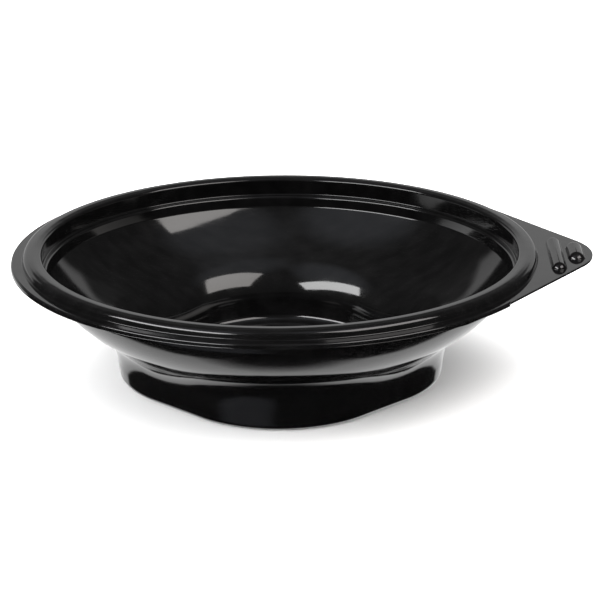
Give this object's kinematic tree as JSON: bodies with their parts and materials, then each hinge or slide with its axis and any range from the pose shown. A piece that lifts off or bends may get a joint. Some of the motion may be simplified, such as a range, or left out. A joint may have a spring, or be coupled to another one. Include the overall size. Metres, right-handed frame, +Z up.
{
  "type": "hair color bowl",
  "caption": "Shallow round black plastic bowl with a hollow snap rim, an inner lid seat, a flared wall, a rounded-square foot and a pointed grip tab with raised ribs.",
  "frame": {"origin": "centre of the foot's flat underside, on the bowl's axis, in the plane that the bowl stands on", "axes": "+Z up along the bowl's axis, +X towards the grip tab's tip, +Y completing a right-handed frame"},
  "size_m": [0.2166, 0.2, 0.0507],
  "materials": {
    "black_sheet": "glossy black thermoformed sheet, near mirror-like, with faint draw waviness",
    "scuffed_base": "the same black sheet, lightly scuffed where it stands"
  },
  "bodies": {
    "root": {"rim_flange": "black_sheet", "rim_bead": "black_sheet", "lid_seat": "black_sheet", "grip_tab": "black_sheet", "tab_rib_inner": "black_sheet", "tab_rib_outer": "black_sheet", "bowl_wall": "black_sheet", "foot_shoulder": "black_sheet", "foot_skirt": "black_sheet", "base_panel": "scuffed_base"}
  },
  "joints": []
}
